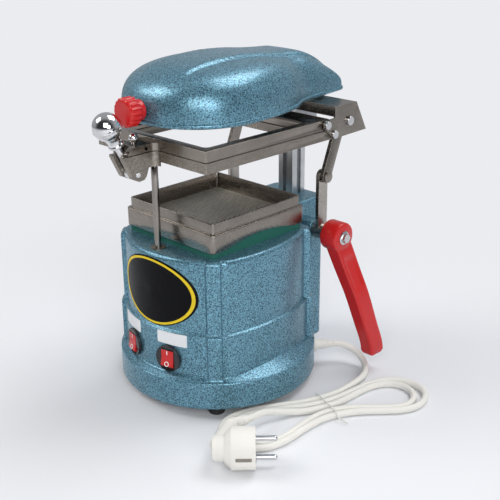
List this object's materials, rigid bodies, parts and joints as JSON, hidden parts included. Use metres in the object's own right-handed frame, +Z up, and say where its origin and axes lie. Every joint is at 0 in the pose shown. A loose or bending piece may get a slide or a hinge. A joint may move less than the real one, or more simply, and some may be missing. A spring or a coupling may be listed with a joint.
{
  "type": "dental vacuum former",
  "caption": "Dental vacuum former: a lever lowers a hinged sheet frame over a perforated suction tray in a round enamelled housing, under a swinging heater hood.",
  "frame": {"origin": "on the floor under the axis of the round base, midway between the feet", "axes": "+Z up along the base's axis, -Y to the front where the switches are, +X to the lever's side"},
  "size_m": [0.299, 0.2948, 0.3289],
  "materials": {
    "hammertone_blue": "hammertone enamel, glossy",
    "plated_steel": "zinc plated",
    "black_rubber": "matte",
    "chrome": "polished plate",
    "green_rubber": "soft, semi-matte",
    "nickel": "satin nickel plate over a casting",
    "mesh_steel": "punched and dulled by heat",
    "alloy": "extruded, satin",
    "bronze": "sintered",
    "black_plastic": "moulded",
    "label_white": "printed film, blank",
    "badge_black": "enamelled plate with a yellow rim, blank",
    "white_vinyl": "soft vinyl, semi-gloss",
    "tie_wire": "plastic coated wire",
    "red_plastic": "moulded, semi-gloss",
    "heater_ceramic": "unglazed",
    "heater_wire": "oxidised"
  },
  "bodies": {
    "base": {"housing": "hammertone_blue", "base_plate": "plated_steel", "rubber_feet": "black_rubber", "foot_screws": "chrome", "motor_can": "plated_steel", "fan_housing": "plated_steel", "motor_clamp": "plated_steel", "suction_seal": "black_rubber", "tray_gasket": "green_rubber", "tray": "nickel", "mesh_plate": "mesh_steel", "column": "alloy", "pivot_post": "chrome", "post_cap": "chrome", "guide_bush": "bronze", "heat_switch": "black_plastic", "vacuum_switch": "black_plastic", "switch_labels": "label_white", "badge_plate": "badge_black", "cord_gland": "white_vinyl", "mains_cord": "white_vinyl", "cord_hank": "white_vinyl", "plug_lead": "white_vinyl", "cord_tie": "tie_wire", "plug_body": "white_vinyl", "plug_pins": "chrome"},
    "carriage": {"lower_frame": "nickel", "lower_jaw": "nickel", "rear_bracket": "nickel", "slide_block": "alloy", "bracket_screws": "chrome", "hinge_screws": "chrome", "link_bolts": "chrome", "guide_rod": "chrome", "jaw_pin": "chrome"},
    "lid": {"upper_frame": "nickel", "upper_jaw": "nickel", "lift_stud": "chrome"},
    "links": {"link_right": "nickel", "link_left": "nickel"},
    "lever_set": {"lever_shaft": "chrome", "lever": "red_plastic", "lever_bolt": "chrome", "arm_right": "nickel", "arm_left": "nickel"},
    "bolt": {"swing_bolt": "chrome"},
    "nut": {"ball_nut": "chrome"},
    "hood": {"hood_shell": "hammertone_blue", "hood_boss": "alloy", "reflector": "chrome", "heater_disc": "heater_ceramic", "heater_coil": "heater_wire", "front_knob": "red_plastic", "knob_stud": "chrome"},
    "fan": {"impeller": "plated_steel", "motor_shaft": "chrome"},
    "heat_key": {"heat_rocker": "red_plastic"},
    "vacuum_key": {"vacuum_rocker": "red_plastic"}
  },
  "joints": [
    {"name": "lever_swing", "type": "hinge", "parent": "base", "child": "lever_set", "pos_m": [0, 0.0865, 0.147], "axis": [-1, 0, 0], "range_deg": [0, 93]},
    {"name": "carriage_slide", "type": "slide", "parent": "base", "child": "carriage", "axis": [0, 0, -1], "range_m": [0, 0.069]},
    {"name": "link_swing", "type": "hinge", "parent": "carriage", "child": "links", "pos_m": [0, 0.108, 0.259], "axis": [1, 0, 0], "range_deg": [0, 58.9]},
    {"name": "lid_hinge", "type": "hinge", "parent": "carriage", "child": "lid", "pos_m": [0, 0.0753, 0.2598], "axis": [-1, 0, 0], "range_deg": [0, 2]},
    {"name": "bolt_swing", "type": "hinge", "parent": "carriage", "child": "bolt", "pos_m": [0, -0.101, 0.236], "axis": [1, 0, 0], "range_deg": [0, 75]},
    {"name": "ball_nut_turn", "type": "hinge", "parent": "bolt", "child": "nut", "pos_m": [0, -0.101, 0.236], "axis": [0, -0.4493, 0.8934], "continuous": true},
    {"name": "hood_swing", "type": "hinge", "parent": "base", "child": "hood", "pos_m": [0, 0.111, 0.29], "axis": [0, 0, 1], "range_deg": [-90, 90]},
    {"name": "heat_switch_rock", "type": "hinge", "parent": "base", "child": "heat_key", "pos_m": [-0.02466, -0.08586, 0.056], "axis": [0.9681, -0.2504, 0], "range_deg": [0, 14]},
    {"name": "vacuum_switch_rock", "type": "hinge", "parent": "base", "child": "vacuum_key", "pos_m": [0.02466, -0.08586, 0.056], "axis": [0.9681, 0.2504, 0], "range_deg": [0, 14]},
    {"name": "impeller_spin", "type": "hinge", "parent": "base", "child": "fan", "pos_m": [0, 0, 0.11], "axis": [0, 0, 1], "continuous": true}
  ],
  "couplings": [
    {"joint": "carriage_slide", "follows": "lever_swing", "m_per_rad": 0.04251},
    {"joint": "link_swing", "follows": "lever_swing", "ratio": 0.6333}
  ]
}
